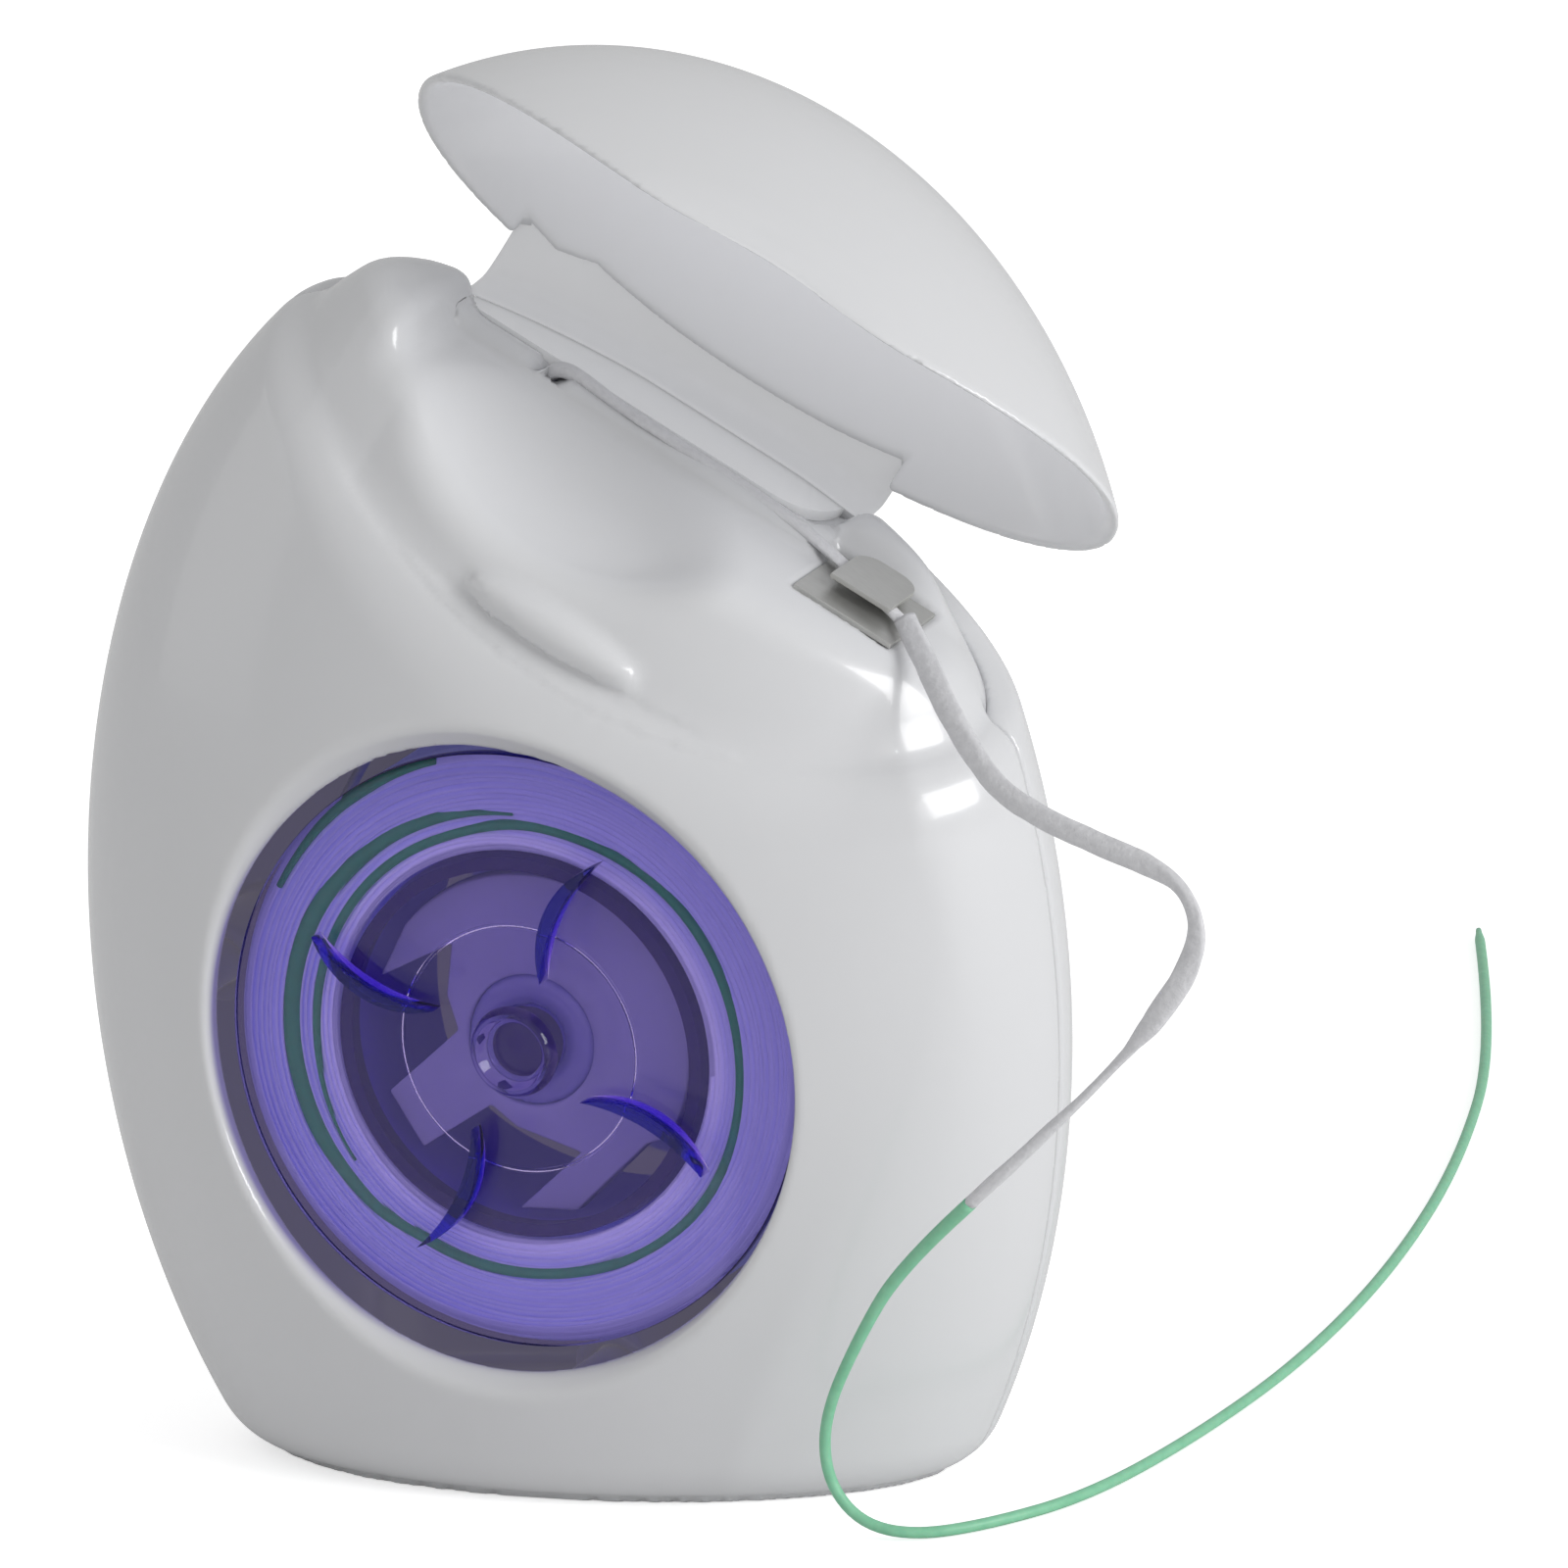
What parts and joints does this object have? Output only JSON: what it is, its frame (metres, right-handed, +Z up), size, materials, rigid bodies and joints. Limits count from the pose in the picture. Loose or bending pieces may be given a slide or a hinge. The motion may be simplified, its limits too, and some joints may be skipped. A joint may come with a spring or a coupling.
{
  "type": "dental floss dispenser",
  "caption": "Egg-shaped pocket case with a hinged lid, a floss spool seen through a round window, a cutter on the deck and a strand with a stiff threader end.",
  "frame": {"origin": "centre of the flat base", "axes": "+Z up from the base, -Y out of the window, +X towards the low end of the lid"},
  "size_m": [0.0679, 0.109, 0.0711],
  "materials": {
    "case_plastic": "smooth moulded gloss",
    "spool_plastic": "clear tinted moulding",
    "blade_steel": "stamped and brushed",
    "floss_fibre": "spongy twisted filament",
    "threader_filament": "stiffened filament"
  },
  "bodies": {
    "case": {"front_shell": "case_plastic", "rear_shell": "case_plastic", "hinge_leaf": "case_plastic", "hinge_web": "case_plastic", "cutter": "blade_steel", "brake_spider": "case_plastic", "floss_feed": "floss_fibre", "floss_strand": "floss_fibre", "threader_strand": "threader_filament"},
    "lid": {"lid": "case_plastic"},
    "spool": {"spool": "spool_plastic", "floss_core": "floss_fibre", "floss_winding": "floss_fibre", "threader_winding": "threader_filament"}
  },
  "joints": [
    {"name": "lid_hinge", "type": "hinge", "parent": "case", "child": "lid", "pos_m": [0.00601, 0.0091, 0.05264], "axis": [-0.8686, 0, 0.4955], "range_deg": [-67, 45], "deforming": ["floss_strand"]},
    {"name": "spool_spin", "type": "hinge", "parent": "case", "child": "spool", "pos_m": [0, -0.001, 0.023], "axis": [0, 1, 0], "continuous": true}
  ]
}
